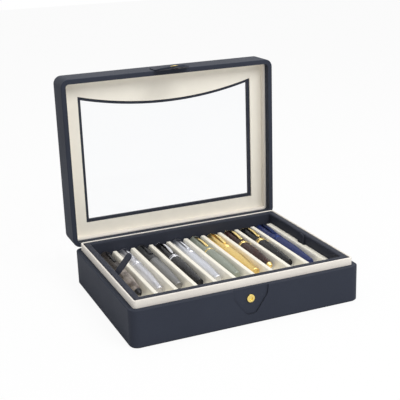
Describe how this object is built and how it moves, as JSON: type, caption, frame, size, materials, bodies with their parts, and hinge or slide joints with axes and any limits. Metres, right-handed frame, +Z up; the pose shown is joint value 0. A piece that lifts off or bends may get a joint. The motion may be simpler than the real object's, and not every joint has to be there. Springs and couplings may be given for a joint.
{
  "type": "pen collector chest",
  "caption": "Leather-covered pen collector chest with a hinged window lid, a lift-out tray of suede channels holding pens, a clasp tongue and a storage well below.",
  "frame": {"origin": "centre of the underside of the base, on the surface the chest stands on", "axes": "+X to the chest's right seen from its front, along the hinge line; +Y to the back, where the lid hinges; +Z up"},
  "size_m": [0.3, 0.2702, 0.2815],
  "materials": {
    "navy_leather": "satin, fine pebble grain",
    "navy_lining": "matt dark lining",
    "wood_board": "bare board under the leather",
    "cream_leather": "satin, fine grain",
    "cream_suede": "matt brushed suede",
    "felt": "matt felt",
    "clear_glass": "polished",
    "brass": "polished",
    "steel": "satin",
    "gold": "polished plate",
    "chrome": "polished",
    "marbled_resin": "polished, marbled",
    "dark_resin": "polished",
    "anthracite": "matt lacquer",
    "gunmetal": "satin lacquer",
    "sage": "satin lacquer",
    "brown_resin": "polished",
    "navy_lacquer": "matt lacquer"
  },
  "bodies": {
    "base": {"base_felt": "felt", "base_leather": "navy_leather", "base_frame": "wood_board", "clasp_inlay": "navy_leather", "snap_socket": "brass", "base_bottom": "wood_board", "lip_liner": "cream_leather", "well_floor": "navy_lining", "tray_ledge": "navy_lining", "base_leaf": "brass", "hinge_pin": "steel", "base_screw": "brass"},
    "lid": {"lid_leather": "navy_leather", "lid_frame": "wood_board", "lid_rim": "navy_leather", "lid_liner": "cream_leather", "lid_panel": "cream_leather", "window_sash": "navy_leather", "window_glass": "clear_glass", "lid_board": "wood_board", "lid_leaf": "brass", "lid_screw": "brass"},
    "flap": {"tongue": "navy_leather", "tongue_cap": "brass", "tongue_stud": "brass"},
    "tray": {"tray_frame": "navy_leather", "tray_floor": "wood_board", "pen_rest": "cream_suede"},
    "tab_left": {"tab_left": "navy_leather"},
    "tab_right": {"tab_right": "navy_leather"},
    "pen_01": {"pen_01_cap": "dark_resin", "pen_01_barrel": "marbled_resin", "pen_01_trim": "dark_resin"},
    "pen_02": {"pen_02_cap": "chrome", "pen_02_barrel": "chrome", "pen_02_trim": "chrome"},
    "pen_03": {"pen_03_cap": "anthracite", "pen_03_barrel": "gunmetal", "pen_03_trim": "anthracite"},
    "pen_04": {"pen_04_cap": "dark_resin", "pen_04_barrel": "dark_resin", "pen_04_trim": "chrome"},
    "pen_05": {"pen_05_cap": "chrome", "pen_05_barrel": "chrome", "pen_05_trim": "chrome"},
    "pen_06": {"pen_06_cap": "sage", "pen_06_barrel": "sage", "pen_06_trim": "gold"},
    "pen_07": {"pen_07_cap": "gold", "pen_07_barrel": "gold", "pen_07_trim": "gold"},
    "pen_08": {"pen_08_cap": "brown_resin", "pen_08_barrel": "brown_resin", "pen_08_trim": "gold"},
    "pen_09": {"pen_09_cap": "dark_resin", "pen_09_barrel": "dark_resin", "pen_09_trim": "gold"},
    "pen_10": {"pen_10_cap": "navy_lacquer", "pen_10_barrel": "navy_lacquer", "pen_10_trim": "navy_lacquer"}
  },
  "joints": [
    {"name": "lid_hinge", "type": "hinge", "parent": "base", "child": "lid", "pos_m": [0, 0.1145, 0.0442], "axis": [-1, 0, 0], "range_deg": [-90, 0]},
    {"name": "flap_fold", "type": "hinge", "parent": "lid", "child": "flap", "pos_m": [0, 0.1174, 0.2728], "axis": [-1, 0, 0], "range_deg": [-15, 60], "stiffness_Nm_per_rad": 0.06},
    {"name": "tray_lift", "type": "slide", "parent": "base", "child": "tray", "axis": [0, 0, 1], "range_m": [0, 0.09]},
    {"name": "tab_left_fold", "type": "hinge", "parent": "tray", "child": "tab_left", "pos_m": [-0.1311, 0, 0.045], "axis": [0, -1, 0], "range_deg": [-38, 38], "stiffness_Nm_per_rad": 0.02},
    {"name": "tab_right_pull", "type": "slide", "parent": "tray", "child": "tab_right", "axis": [0, 0, 1], "range_m": [0, 0.02]},
    {"name": "pen_01_lift", "type": "slide", "parent": "tray", "child": "pen_01", "axis": [0, 0, 1], "range_m": [0, 0.012]},
    {"name": "pen_02_lift", "type": "slide", "parent": "tray", "child": "pen_02", "axis": [0, 0, 1], "range_m": [0, 0.032]},
    {"name": "pen_03_lift", "type": "slide", "parent": "tray", "child": "pen_03", "axis": [0, 0, 1], "range_m": [0, 0.032]},
    {"name": "pen_04_lift", "type": "slide", "parent": "tray", "child": "pen_04", "axis": [0, 0, 1], "range_m": [0, 0.032]},
    {"name": "pen_05_lift", "type": "slide", "parent": "tray", "child": "pen_05", "axis": [0, 0, 1], "range_m": [0, 0.032]},
    {"name": "pen_06_lift", "type": "slide", "parent": "tray", "child": "pen_06", "axis": [0, 0, 1], "range_m": [0, 0.032]},
    {"name": "pen_07_lift", "type": "slide", "parent": "tray", "child": "pen_07", "axis": [0, 0, 1], "range_m": [0, 0.032]},
    {"name": "pen_08_lift", "type": "slide", "parent": "tray", "child": "pen_08", "axis": [0, 0, 1], "range_m": [0, 0.032]},
    {"name": "pen_09_lift", "type": "slide", "parent": "tray", "child": "pen_09", "axis": [0, 0, 1], "range_m": [0, 0.032]},
    {"name": "pen_10_lift", "type": "slide", "parent": "tray", "child": "pen_10", "axis": [0, 0, 1], "range_m": [0, 0.032]}
  ]
}
